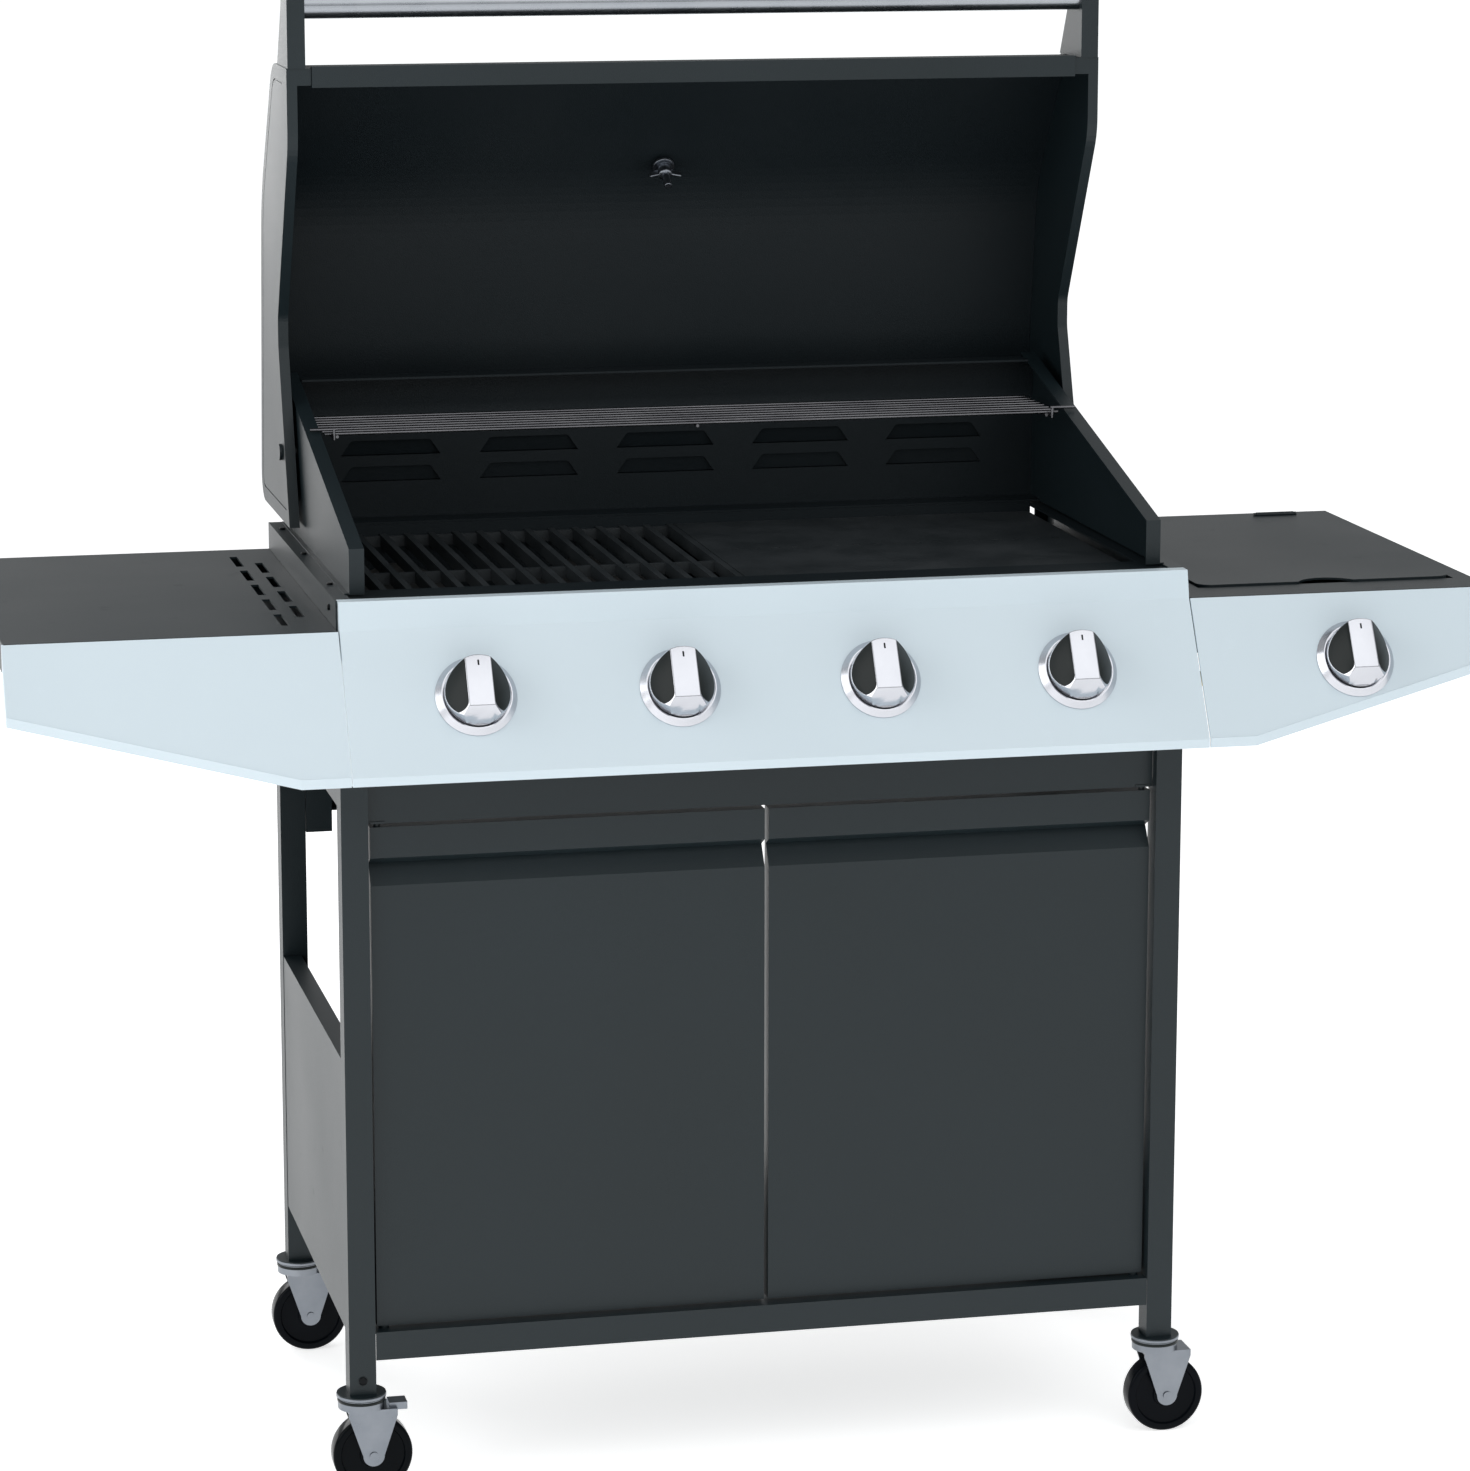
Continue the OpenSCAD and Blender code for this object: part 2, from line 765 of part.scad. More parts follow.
// Flat top with turned-down edges, on the left
module left_shelf() {
  slot_w = 7.5;
  slot_l = 58;
  slot_step = 0.182 * body_d;
  drop = 28;
  color("#5f6469")
    difference() {
      union() {
        slab([-shelf_out + 1, -shelf_in], [shelf_front, shelf_back], [shelf_h - sheet, shelf_h]);
        slab([-shelf_out + 1, -shelf_out + 1 + sheet], [shelf_front, shelf_back], [shelf_h - drop, shelf_h]);
        slab([-shelf_out + 1, -shelf_in], [shelf_back - sheet, shelf_back], [shelf_h - drop, shelf_h]);
        slab([-shelf_in - sheet, -shelf_in], [front_y + 1, shelf_back], [shelf_h - drop, shelf_h]);
        slab([-shelf_out + 1, -shelf_in], [shelf_front, shelf_front + sheet], [shelf_h - drop, shelf_h]);
        slab([-half_w - 96, -shelf_in], [shelf_front, shelf_back], [shelf_h - drop, shelf_h - drop + sheet]);
      }
      for (k = [0 : 4])
        slot_hole(-half_w - 43, (2 - k) * slot_step, slot_w, slot_l);
      for (k = [0 : 3])
        slot_hole(-half_w - 23.3, (1.5 - k) * slot_step, slot_w, slot_l);
    }
}

// Slot through the shelf top, long way along Y
module slot_hole(x, y, w, l) {
  slab([x - w / 2, x + w / 2], [y - l / 2, y + l / 2], [shelf_h - sheet - 1, shelf_h + 1]);
}

// Sloping front of a side shelf: its lower edge rises towards the outer end
module fascia() {
  end_y = crease_y - fascia_end * sin(lean);
  end_z = shelf_h - fascia_end * cos(lean);
  low_in = face_len;
  color("#c8d2da") {
    // face, as a flat sheet in the panel's own plane
    translate([0, crease_y, shelf_h])
      rotate([90 - lean, 0, 0])
        translate([0, 0, -sheet])
          difference() {
            linear_extrude(sheet)
              polygon([[half_w + 1.2, -low_in], [half_w + 46, -low_in + 1], [shelf_out, -fascia_end],
                       [shelf_out, 0], [half_w + 1.2, 0]]);
            children();
          }
    // end return
    along_x([[crease_y + 0.6, shelf_h], [crease_y + 2.7, shelf_h], [end_y + 30, end_z + 4],
             [end_y + 6, end_z - lip], [end_y, end_z - lip], [end_y + 0.6, end_z]],
            [shelf_out - sheet, shelf_out]);
    // lower lip, standing on edge along the sloping lower side
    fascia_lip(end_y, end_z);
  }
}

module fascia_lip(end_y, end_z) {
  rise = (end_z - panel_low) / (shelf_out - half_w - 46);
  hull() {
    slab([half_w + 45, half_w + 46], [low_y, low_y + sheet], [panel_low - lip, panel_low + 1]);
    slab([shelf_out - 1, shelf_out], [end_y, end_y + sheet], [end_z - lip, end_z + 1]);
  }
  slab([half_w + 1.2, half_w + 46], [low_y, low_y + sheet], [panel_low - lip, panel_low + 1]);
}

module left_fascia() {
  mirror([1, 0, 0])
    fascia();
}

module right_fascia() {
  fascia()
    translate([knob_xs[4], -knob_down, -2])
      cylinder(h = sheet + 4, r = 9);
}

// Frame around the side burner, with a well below it
module right_shelf() {
  drop = 28;
  x0 = side_lid_x - side_lid_w / 2 - 2;
  x1 = side_lid_x + side_lid_w / 2 + 2;
  y0 = side_lid_front - 2;
  y1 = side_lid_back + 2;
  color("#4c5156") {
    for (x = hinge_xs) {
      rod_x([x - 3, hinge_y, hinge_z], hinge_len + 6, hinge_pin_r);
      for (end = [x - 3, x + hinge_len + 0.5]) {
        rod_x([end, hinge_y, hinge_z], 2.5, barrel_r - 0.4);
        slab([end, end + 2.5], [hinge_y - 0.4, hinge_y + barrel_r - 0.4], [shelf_h - eps, hinge_z]);
      }
    }
    difference() {
      union() {
        slab([shelf_in, shelf_out - 1], [shelf_front, shelf_back], [shelf_h - drop, shelf_h]);
        slab([x0 - sheet, x1 + sheet], [y0 - sheet, y1 + sheet], [shelf_h - well_deep, shelf_h - 4]);
      }
      difference() {
        slab([shelf_in + sheet, shelf_out - 1 - sheet], [shelf_front + sheet, shelf_back - sheet],
             [shelf_h - drop - 1, shelf_h - sheet]);
        slab([x0 - sheet, x1 + sheet], [y0 - sheet, y1 + sheet], [shelf_h - drop - 2, shelf_h]);
      }
      slab([x0, x1], [y0, y1], [shelf_h - 8, shelf_h + 1]);
      slab([x0 + 14, x1 - 14], [y0 + 14, y1 - 14], [shelf_h - well_deep + sheet, shelf_h + 1]);
      slab([shelf_in - 1, x0 + 10], [shelf_front - 1, front_y + 1], [shelf_h - drop - 1, shelf_h - 6]);
      rod_y([side_lid_x, y0 - 20, shelf_h - well_deep + 16], 40, 8);
    }
  }
}

// Round burner head on its feed tube
module side_burner() {
  cy = (side_lid_front + side_lid_back) / 2;
  z0 = shelf_h - well_deep + sheet + 2;
  color("#8f8a80") {
    difference() {
      translate([side_lid_x, cy, 0]) {
        translate([0, 0, z0])
          cylinder(h = 18, r = 40);
        translate([0, 0, z0 + 17])
          cylinder(h = 8, r = 36);
      }
      for (k = [0 : 15])
        translate([side_lid_x, cy, z0 + 20])
          rotate([0, 0, 22.5 * k])
            rod_x([30, 0, 0], 12, 1.2);
    }
    rod_y([side_lid_x, front_y - 4, shelf_h - well_deep + 16], cy - front_y + 4, 7);
    translate([side_lid_x, cy, z0 - 2])
      cylinder(h = 3, r = 22);
  }
}

// Four-armed support over the side burner
module pot_support() {
  cy = (side_lid_front + side_lid_back) / 2;
  top = shelf_h - 12;
  arm = 6;
  rx = side_lid_w / 2 - 13;
  ry = side_lid_d / 2 - 13;
  low = shelf_h - well_deep + sheet;
  color("#1b1e20")
    translate([side_lid_x, cy, 0]) {
      difference() {
        slab([-rx, rx], [-ry, ry], [top - 8, top - 2]);
        slab([-rx + arm, rx - arm], [-ry + arm, ry - arm], [top - 9, top]);
      }
      for (k = [0, 1])
        mirror([k, 0, 0])
          slab([26, rx - 1], [-arm / 2, arm / 2], [top - 8, top]);
      for (k = [0, 1])
        mirror([0, k, 0])
          slab([-arm / 2, arm / 2], [26, ry - 1], [top - 8, top]);
      for (sx = [-1, 1])
        for (sy = [-1, 1])
          slab([sx * (rx - 5) - 5, sx * (rx - 5) + 5], [sy * (ry - 5) - 5, sy * (ry - 5) + 5],
               [low, top - 7]);
    }
}

// Flat lid with a finger notch at the front and two hinge barrels at the back
module side_burner_lid() {
  x0 = side_lid_x - side_lid_w / 2;
  x1 = side_lid_x + side_lid_w / 2;
  low = shelf_h - 2.5;
  r = 14;
  notch_r = 31;
  color("#3d4247")
    difference() {
      union() {
        translate([0, 0, low])
          linear_extrude(lid_top_z - low)
            rounded_rect(x0, x1, side_lid_front, side_lid_back, r);
        for (x = hinge_xs) {
          rod_x([x, hinge_y, hinge_z], hinge_len, barrel_r);
          slab([x, x + hinge_len], [side_lid_back - 3, hinge_y], [shelf_h + 0.6, lid_top_z]);
        }
      }
      translate([0, 0, low - 0.1])
        linear_extrude(2.6)
          rounded_rect(x0 + sheet, x1 - sheet, side_lid_front + sheet, side_lid_back - sheet, r - sheet);
      translate([side_lid_x, side_lid_front - 15, shelf_h - 10])
        cylinder(h = 20, r = notch_r);
      for (x = hinge_xs)
        rod_x([x - 1, hinge_y, hinge_z], hinge_len + 2, hinge_pin_r + fit);
    }
}

module rounded_rect(x0, x1, y0, y1, r) {
  translate([x0 + r, y0])
    square([x1 - x0 - 2 * r, y1 - y0]);
  translate([x0, y0 + r])
    square([x1 - x0, y1 - y0 - 2 * r]);
  for (x = [x0 + r, x1 - r])
    for (y = [y0 + r, y1 - r])
      translate([x, y])
        circle(r);
}

// ---------- lid ----------

// Outline of the lid's ends around the pivot, closed, from the front lower corner
function lid_top(reach, back, rise) =
  let (a = [-reach, lid_low + 2],
       b = [-reach, 28],
       c = [139 - reach, rise - 38],
       d = [back, rise])
  concat(corner(a, b, c, 45, 6), corner(b, c, d, 150, 8), corner(c, d, [back, 0], 26, 6));

function lid_rim() =
  let (e = [lid_back, -44],
       g = [-101, 16],
       h = [-128, 16],
       j = [74 - lid_reach, lid_low],
       a = [-lid_reach, lid_low])
  concat([e], corner(e, g, h, 25, 4), corner(g, h, j, 25, 4), corner(h, j, a, 60, 5), [a]);

function end_outline() = concat(lid_top(lid_reach, lid_back, lid_rise), lid_rim());

// Turns closed-lid shapes into the open resting place
module lid_place() {
  translate([0, pivot_y, pivot_h])
    rotate([-lid_open, 0, 0])
      children();
}

// Formed sheet between the lid's ends
module lid_shell() {
  outer = concat([[-lid_reach, lid_low + 14.2 + sheet / 2]], lid_top(lid_reach, lid_back, lid_rise),
                 [[lid_back, shell_end]]);
  color("#191d20")
    lid_place()
      difference() {
        along_x(bent(shifted(outer, -shell_gap), -sheet), [shell_gap - lid_x, lid_x - shell_gap]);
        thermo_axis()
          cylinder(h = 60, r = 4.3, center = true);
      }
}

// Stamped end with a band round its edge
module lid_end() {
  outline = end_outline();
  line = concat([[-lid_reach, lid_low + 30]], lid_top(lid_reach, lid_back, lid_rise), [[lid_back, -24]]);
  color("#a4a8ab")
    lid_place()
      difference() {
        union() {
          along_x(outline, [lid_x - sheet, lid_x]);
          difference() {
            along_x(outline, [lid_x - lid_flange, lid_x]);
            along_x(inset(outline, -sheet), [lid_x - lid_flange - 1, lid_x - sheet]);
          }
          slab([beam_x + 0.5, lid_x - 1], [-lid_reach, -lid_reach + front_band], [lid_low, lid_low + sheet]);
        }
        rod_x([lid_x - 30, 0, 0], 40, pin_r + fit);
        along_x(bent(shifted(line, -14), -1.8), [lid_x - 0.8, lid_x + 1]);
      }
}

module lid_end_right() {
  lid_end();
}

module lid_end_left() {
  mirror([1, 0, 0])
    lid_end();
}

// Channel along the lid's front lower edge
module lid_beam() {
  y = -lid_reach;
  color("#3a4147")
    lid_place()
      along_x(bent([[y + 2 * sheet + 1, lid_low + 14], [y, lid_low + 14 - 10], [y, lid_low],
                    [y + front_band, lid_low], [y + front_band, lid_low + 12]], -sheet),
              [-beam_x, beam_x]);
}

module lid_handle() {
  color("#d3d8dc")
    lid_place()
      difference() {
        rod_x([-bracket_x + bracket_t / 2 - 6, -lid_reach - bar_out, bar_z], 2 * bracket_x - bracket_t + 12,
              handle_dia / 2);
        rod_x([-bracket_x - 20, -lid_reach - bar_out, bar_z], 2 * bracket_x + 40, handle_dia / 2 - sheet);
      }
}

// Tapered arms that hold the bar
module handle_brackets() {
  y = -lid_reach;
  low = bar_z - handle_dia / 2 - 4;
  color("#343b41")
    lid_place()
      both_sides()
        difference() {
          along_x([[y, low], [y, -5], [y - bar_out - 6, bar_z + handle_dia / 2 + 10],
                   [y - bar_out - 16, bar_z + handle_dia / 2], [y - bar_out - 16, low]],
                  [bracket_x - bracket_t / 2, bracket_x + bracket_t / 2]);
          rod_x([bracket_x - bracket_t / 2 - 1, -lid_reach - bar_out, bar_z], 7, handle_dia / 2 + fit);
        }
}

// Places its children on the lid's front slope, +Z pointing out of the closed lid
module thermo_axis() {
  low = [-lid_reach, 28];
  high = [139 - lid_reach, lid_rise - 38];
  at = low + 0.777 * (high - low);
  translate([0, at[0], at[1] - 3.4])
    rotate([atan((high[1] - low[1]) / (high[0] - low[0])), 0, 0])
      children();
}

// Dial on the outside, stud through the lid and wing nut inside
module thermometer() {
  wing = 33;
  color("#b9bcbf")
    lid_place()
      thermo_axis() {
        translate([0, 0, 1.2])
          cylinder(h = 13, r = 36);
        translate([0, 0, -40])
          cylinder(h = 42, r = 4);
        translate([0, 0, -11])
          cylinder(h = 3, r = 11);
        translate([0, 0, -22])
          cylinder(h = 12, r = 7);
        difference() {
          translate([-wing / 2, -2.5, -25])
            cube([wing, 5, 14]);
          translate([-6, -4, -26])
            cube([12, 8, 5]);
        }
      }
}

// ---------- doors ----------

// Folded door: top band, finger recess, then the flat face
module door() {
  band = door_top - 29;
  deep = 13;
  under = door_top - 36;
  out = door_top - 55;
  front = [[door_face, door_top], [door_face, band], [door_face + deep, under], [door_face, out],
           [door_face, door_low], [door_face + door_t, door_low]];
  face = concat([[door_face + door_t, door_top]], front);
  web = concat(front, [[door_face + door_t, door_top]]);
  color("#343a41")
    difference() {
      union() {
        along_x(bent(face, sheet), [door_in, door_out]);
        along_x(web, [door_in, door_in + sheet]);
        along_x(web, [door_out - sheet, door_out]);
        for (z = [door_low, door_top - 10])
          slab([door_pin_x - 7, door_out], [door_face, door_face + door_t], [z, z + 10]);
      }
      rod_z([door_pin_x, door_pin_y, door_low - 5], 15.5, door_pin_r + fit);
      rod_z([door_pin_x, door_pin_y, door_top - 10.5], 30, door_pin_r + fit);
    }
}

module door_right() {
  door();
}

module door_left() {
  mirror([1, 0, 0])
    door();
}

// ---------- casters ----------

module fork(x, y, pedal) {
  color("#b4b8bb")
    translate([x, y, 0]) {
      difference() {
        union() {
          rod_z([0, 0, fork_low], fork_top - fork_low, disc_r - 1);
          slab([-14, trail + 23], [-fork_in - fork_t, fork_in + fork_t], [fork_low - 3, fork_low + eps]);
          if (pedal)
            slab([trail + 16, trail + 33], [-9, 9], [fork_low - 3, fork_low + 4]);
        }
        rod_z([0, 0, fork_low - 4], fork_top - fork_low + 6, pin_r + fit);
      }
      for (side = [-fork_in - fork_t, fork_in])
        fork_plate(side);
      rod_y([trail, -fork_in - fork_t - 1.5, wheel_r], 2 * fork_in + 2 * fork_t + 3, axle_r);
    }
}

// One tapering side of the fork
module fork_plate(y) {
  translate([0, y + fork_t, 0])
    rotate([90, 0, 0])
      linear_extrude(fork_t) {
        polygon([[-14, fork_low], [-14, fork_low - 6], [trail - 10, wheel_r], [trail + 10, wheel_r],
                 [trail + 23, fork_low - 6], [trail + 23, fork_low]]);
        translate([trail, wheel_r])
          circle(10);
      }
}

module wheel(x, y) {
  tread_in = wheel_r - 9;
  color("#14171a")
    translate([x + trail, y, wheel_r])
      rotate([90, 0, 0])
        difference() {
          translate([0, 0, -wheel_w / 2])
            cylinder(h = wheel_w, r = wheel_r);
          for (z = [-wheel_w / 2 - 1, wheel_w / 2 - 3])
            translate([0, 0, z])
              difference() {
                cylinder(h = 4, r = tread_in);
                translate([0, 0, -1])
                  cylinder(h = 6, r = 9);
              }
          translate([0, 0, -wheel_w])
            cylinder(h = 2 * wheel_w, r = axle_r + fit);
        }
}

module fork_front_left() {
  fork(-leg_x, front_y + leg_s / 2, true);
}

module fork_front_right() {
  fork(leg_x, front_y + leg_s / 2, false);
}

module fork_rear_left() {
  fork(-leg_x, back_y - leg_s / 2, true);
}

module fork_rear_right() {
  fork(leg_x, back_y - leg_s / 2, false);
}

module wheel_front_left() {
  wheel(-leg_x, front_y + leg_s / 2);
}

module wheel_front_right() {
  wheel(leg_x, front_y + leg_s / 2);
}

module wheel_rear_left() {
  wheel(-leg_x, back_y - leg_s / 2);
}

module wheel_rear_right() {
  wheel(leg_x, back_y - leg_s / 2);
}

// ---------- bolts ----------

// Domed head, standing along +Z
module bolt_head(r) {
  cylinder(h = 1.2, r = r);
  translate([0, 0, 1.2])
    cylinder(h = 0.8, r1 = r, r2 = r - 1);
}

module bolts() {
  color("#3a3d40")
    both_sides() {
      for (y = [-134, 38, 190])
        translate([half_w - 6, y / 224 * back_y, rim_h])
          bolt_head(3);
      translate([shelf_in - 0.3, front_y + 40, rim_h - 12])
        rotate([0, 90, 0])
          bolt_head(3);
    }
  color("#3a3d40")
    translate([-leg_x, front_y, caster_h + 14])
      rotate([90, 0, 0])
        bolt_head(4);
}

leg_front_left();
leg_front_right();
leg_rear_left();
leg_rear_right();
bottom_shelf();
rear_rail();
header();
side_panel_left();
side_panel_right();
side_aprons();
firebox();
cheek_left();
cheek_right();
back_panel();
body_side_left();
body_side_right();
burners();
flame_tamers();
gas_manifold();
cooking_grate();
griddle();
warming_rack();
grease_tray();
control_panel();
knob_bezels();
stem_1();
stem_2();
stem_3();
stem_4();
stem_5();
knob_1();
knob_2();
knob_3();
knob_4();
knob_5();
left_shelf();
left_fascia();
right_shelf();
right_fascia();
side_burner();
pot_support();
side_burner_lid();
lid_shell();
lid_end_left();
lid_end_right();
lid_beam();
lid_handle();
handle_brackets();
thermometer();
door_left();
door_right();
fork_front_left();
fork_front_right();
fork_rear_left();
fork_rear_right();
wheel_front_left();
wheel_front_right();
wheel_rear_left();
wheel_rear_right();
bolts();
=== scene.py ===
import json
import math

import bpy
from mathutils import Matrix, Vector


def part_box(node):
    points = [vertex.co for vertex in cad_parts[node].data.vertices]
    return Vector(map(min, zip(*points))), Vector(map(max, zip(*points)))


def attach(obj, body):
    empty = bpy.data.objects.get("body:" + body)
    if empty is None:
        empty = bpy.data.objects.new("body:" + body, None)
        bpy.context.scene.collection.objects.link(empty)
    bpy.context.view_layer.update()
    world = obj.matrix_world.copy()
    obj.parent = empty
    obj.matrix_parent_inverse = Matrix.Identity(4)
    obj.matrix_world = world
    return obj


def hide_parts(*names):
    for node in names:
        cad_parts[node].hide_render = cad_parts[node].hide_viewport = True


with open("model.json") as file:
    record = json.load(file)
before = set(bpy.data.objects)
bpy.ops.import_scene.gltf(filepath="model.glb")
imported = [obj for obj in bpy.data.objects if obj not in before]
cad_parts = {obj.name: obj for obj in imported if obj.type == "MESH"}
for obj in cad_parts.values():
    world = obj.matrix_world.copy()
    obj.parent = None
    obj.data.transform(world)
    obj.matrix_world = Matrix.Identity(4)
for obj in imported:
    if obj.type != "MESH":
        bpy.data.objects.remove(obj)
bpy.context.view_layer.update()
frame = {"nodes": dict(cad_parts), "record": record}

# Named lengths are in metres and named angles in degrees. Colours are linear red, green and blue.

NODES = frame["nodes"]


# ---------- node groups shared by the finishes ----------

PEEL_DEPTH = 0.0006
BRUSH_DEPTH = 0.0003
PEBBLE_DEPTH = 0.0008


def start_group(name, inputs, outputs):
    """An empty node group with its named sockets, and its entry and exit nodes."""
    group = bpy.data.node_groups.new(name, "ShaderNodeTree")
    for label, kind, value in inputs:
        socket = group.interface.new_socket(name=label, in_out="INPUT", socket_type=kind)
        socket.default_value = value
    for label, kind in outputs:
        group.interface.new_socket(name=label, in_out="OUTPUT", socket_type=kind)
    entry = group.nodes.new("NodeGroupInput")
    leave = group.nodes.new("NodeGroupOutput")
    return group, entry, leave


def add(tree, kind, **settings):
    node = tree.nodes.new(kind)
    for key, value in settings.items():
        setattr(node, key, value)
    return node


def feed(tree, value, socket):
    """Sets a socket to a number, or links an output to it."""
    if isinstance(value, (int, float)):
        socket.default_value = value
    else:
        tree.links.new(value, socket)


def maths(tree, operation, first, second):
    node = add(tree, "ShaderNodeMath", operation=operation)
    feed(tree, first, node.inputs[0])
    feed(tree, second, node.inputs[1])
    return node.outputs[0]


def spread(tree, value, low, high, to_low=0.0, to_high=1.0):
    """Stretches the values between low and high over another range, and holds them inside it."""
    node = add(tree, "ShaderNodeMapRange", clamp=True)
    tree.links.new(value, node.inputs["Value"])
    node.inputs["From Min"].default_value = low
    node.inputs["From Max"].default_value = high
    node.inputs["To Min"].default_value = to_low
    node.inputs["To Max"].default_value = to_high
    return node.outputs["Result"]


def object_place(tree):
    return add(tree, "ShaderNodeTexCoord").outputs["Object"]


def noise(tree, vector, scale, detail=2.0, rough=0.5):
    node = add(tree, "ShaderNodeTexNoise")
    node.inputs["Detail"].default_value = detail
    node.inputs["Roughness"].default_value = rough
    tree.links.new(vector, node.inputs["Vector"])
    feed(tree, scale, node.inputs["Scale"])
    return node.outputs["Fac"]


def bumps(tree, relief, strength, depth):
    """Normal of a surface whose relief is up to depth high."""
    bump = add(tree, "ShaderNodeBump")
    bump.inputs["Distance"].default_value = depth
    tree.links.new(strength, bump.inputs["Strength"])
    tree.links.new(relief, bump.inputs["Height"])
    return bump.outputs["Normal"]


def orange_peel_group():
    """The fine bumps of baked powder coat, its broad cloudy unevenness and its scuffs."""
    group, entry, leave = start_group(
        "orange_peel",
        [("Grain Scale", "NodeSocketFloat", 900.0), ("Height", "NodeSocketFloat", 0.2)],
        [("Cloud", "NodeSocketFloat"), ("Scuff", "NodeSocketFloat"), ("Normal", "NodeSocketVector")],
    )
    where = object_place(group)
    grain = noise(group, where, entry.outputs["Grain Scale"])
    cloud = noise(group, where, scale=3.5, detail=3.0)
    scuff = noise(group, where, scale=38.0, detail=6.0, rough=0.7)
    normal = bumps(group, grain, entry.outputs["Height"], PEEL_DEPTH)
    group.links.new(spread(group, cloud, low=0.3, high=0.7), leave.inputs["Cloud"])
    group.links.new(spread(group, scuff, low=0.62, high=0.78), leave.inputs["Scuff"])
    group.links.new(normal, leave.inputs["Normal"])
    return group


def brushed_group():
    """Fine lines that run where Stretch is small and crowd together where it is large."""
    group, entry, leave = start_group(
        "brushed_lines",
        [("Stretch", "NodeSocketVector", (4.0, 900.0, 900.0)), ("Height", "NodeSocketFloat", 0.15)],
        [("Lines", "NodeSocketFloat"), ("Smudge", "NodeSocketFloat"), ("Normal", "NodeSocketVector")],
    )
    where = object_place(group)
    stretched = add(group, "ShaderNodeVectorMath", operation="MULTIPLY")
    group.links.new(where, stretched.inputs[0])
    group.links.new(entry.outputs["Stretch"], stretched.inputs[1])
    lines = noise(group, stretched.outputs["Vector"], scale=1.0)
    smudge = noise(group, where, scale=14.0, detail=4.0, rough=0.6)
    normal = bumps(group, lines, entry.outputs["Height"], BRUSH_DEPTH)
    group.links.new(lines, leave.inputs["Lines"])
    group.links.new(spread(group, smudge, low=0.35, high=0.75), leave.inputs["Smudge"])
    group.links.new(normal, leave.inputs["Normal"])
    return group


def cast_group():
    """The pebbled skin of cast iron under enamel, with paler patches."""
    group, entry, leave = start_group(
        "cast_skin",
        [("Pebble Scale", "NodeSocketFloat", 420.0), ("Height", "NodeSocketFloat", 0.5)],
        [("Patch", "NodeSocketFloat"), ("Normal", "NodeSocketVector")],
    )
    where = object_place(group)
    pebble = noise(group, where, entry.outputs["Pebble Scale"], detail=4.0, rough=0.65)
    patch = noise(group, where, scale=22.0, detail=4.0)
    normal = bumps(group, pebble, entry.outputs["Height"], PEBBLE_DEPTH)
    group.links.new(spread(group, patch, low=0.35, high=0.7), leave.inputs["Patch"])
    group.links.new(normal, leave.inputs["Normal"])
    return group


ORANGE_PEEL = orange_peel_group()
BRUSHED = brushed_group()
CAST = cast_group()


# ---------- finishes ----------

SCUFF_PALER = 1.25
SCUFF_LIFT = 0.004
SCUFF_ROUGHER = 0.08
CLOUD_SMOOTHER = 0.03
CLOUD_ROUGHER = 0.04
SMUDGE_TIMES_ROUGHER = 1.35
LINES_ROUGHER = 0.25
PATCH_ROUGHER = 0.12


def start_finish(name, metallic=0.0, **sockets):
    """A material with its shader, and the values that are the same all over it."""
    material = bpy.data.materials.new(name)
    material.use_nodes = True
    tree = material.node_tree
    shader = tree.nodes["Principled BSDF"]
    shader.inputs["Metallic"].default_value = metallic
    for label, value in sockets.items():
        shader.inputs[label.replace("_", " ")].default_value = value
    return material, tree, shader


def two_tones(tree, mask, dark, light):
    mix = add(tree, "ShaderNodeMix", data_type="RGBA")
    mix.inputs["A"].default_value = (*dark, 1.0)
    mix.inputs["B"].default_value = (*light, 1.0)
    tree.links.new(mask, mix.inputs["Factor"])
    return mix.outputs["Result"]


def powder_coat(name, dark, light, rough, scuffed, height, shine=0.5):
    """Paint or plastic with fine bumps, two cloudy tones and dull paler scuffs."""
    material, tree, shader = start_finish(name, Specular_IOR_Level=shine)
    peel = add(tree, "ShaderNodeGroup", node_tree=ORANGE_PEEL)
    peel.inputs["Height"].default_value = height
    tone = two_tones(tree, peel.outputs["Cloud"], dark, light)
    worn = add(tree, "ShaderNodeMix", data_type="RGBA")
    worn.inputs["B"].default_value = (*[c * SCUFF_PALER + SCUFF_LIFT for c in light], 1.0)
    tree.links.new(maths(tree, "MULTIPLY", peel.outputs["Scuff"], scuffed), worn.inputs["Factor"])
    tree.links.new(tone, worn.inputs["A"])
    tree.links.new(worn.outputs["Result"], shader.inputs["Base Color"])
    uneven = spread(tree, peel.outputs["Cloud"], 0.0, 1.0, rough - CLOUD_SMOOTHER, rough + CLOUD_ROUGHER)
    dull = maths(tree, "MULTIPLY", peel.outputs["Scuff"], SCUFF_ROUGHER)
    tree.links.new(maths(tree, "ADD", uneven, dull), shader.inputs["Roughness"])
    tree.links.new(peel.outputs["Normal"], shader.inputs["Normal"])
    return material


def metal(name, dark, light, rough, stretch, height=0.12):
    """Bare or plated metal with fine lines and smudges."""
    material, tree, shader = start_finish(name, metallic=1.0)
    brushed = add(tree, "ShaderNodeGroup", node_tree=BRUSHED)
    brushed.inputs["Stretch"].default_value = stretch
    brushed.inputs["Height"].default_value = height
    tree.links.new(two_tones(tree, brushed.outputs["Smudge"], dark, light), shader.inputs["Base Color"])
    uneven = spread(tree, brushed.outputs["Smudge"], 0.0, 1.0, rough, rough * SMUDGE_TIMES_ROUGHER)
    lined = maths(tree, "MULTIPLY", brushed.outputs["Lines"], rough * LINES_ROUGHER)
    tree.links.new(maths(tree, "ADD", uneven, lined), shader.inputs["Roughness"])
    tree.links.new(brushed.outputs["Normal"], shader.inputs["Normal"])
    return material


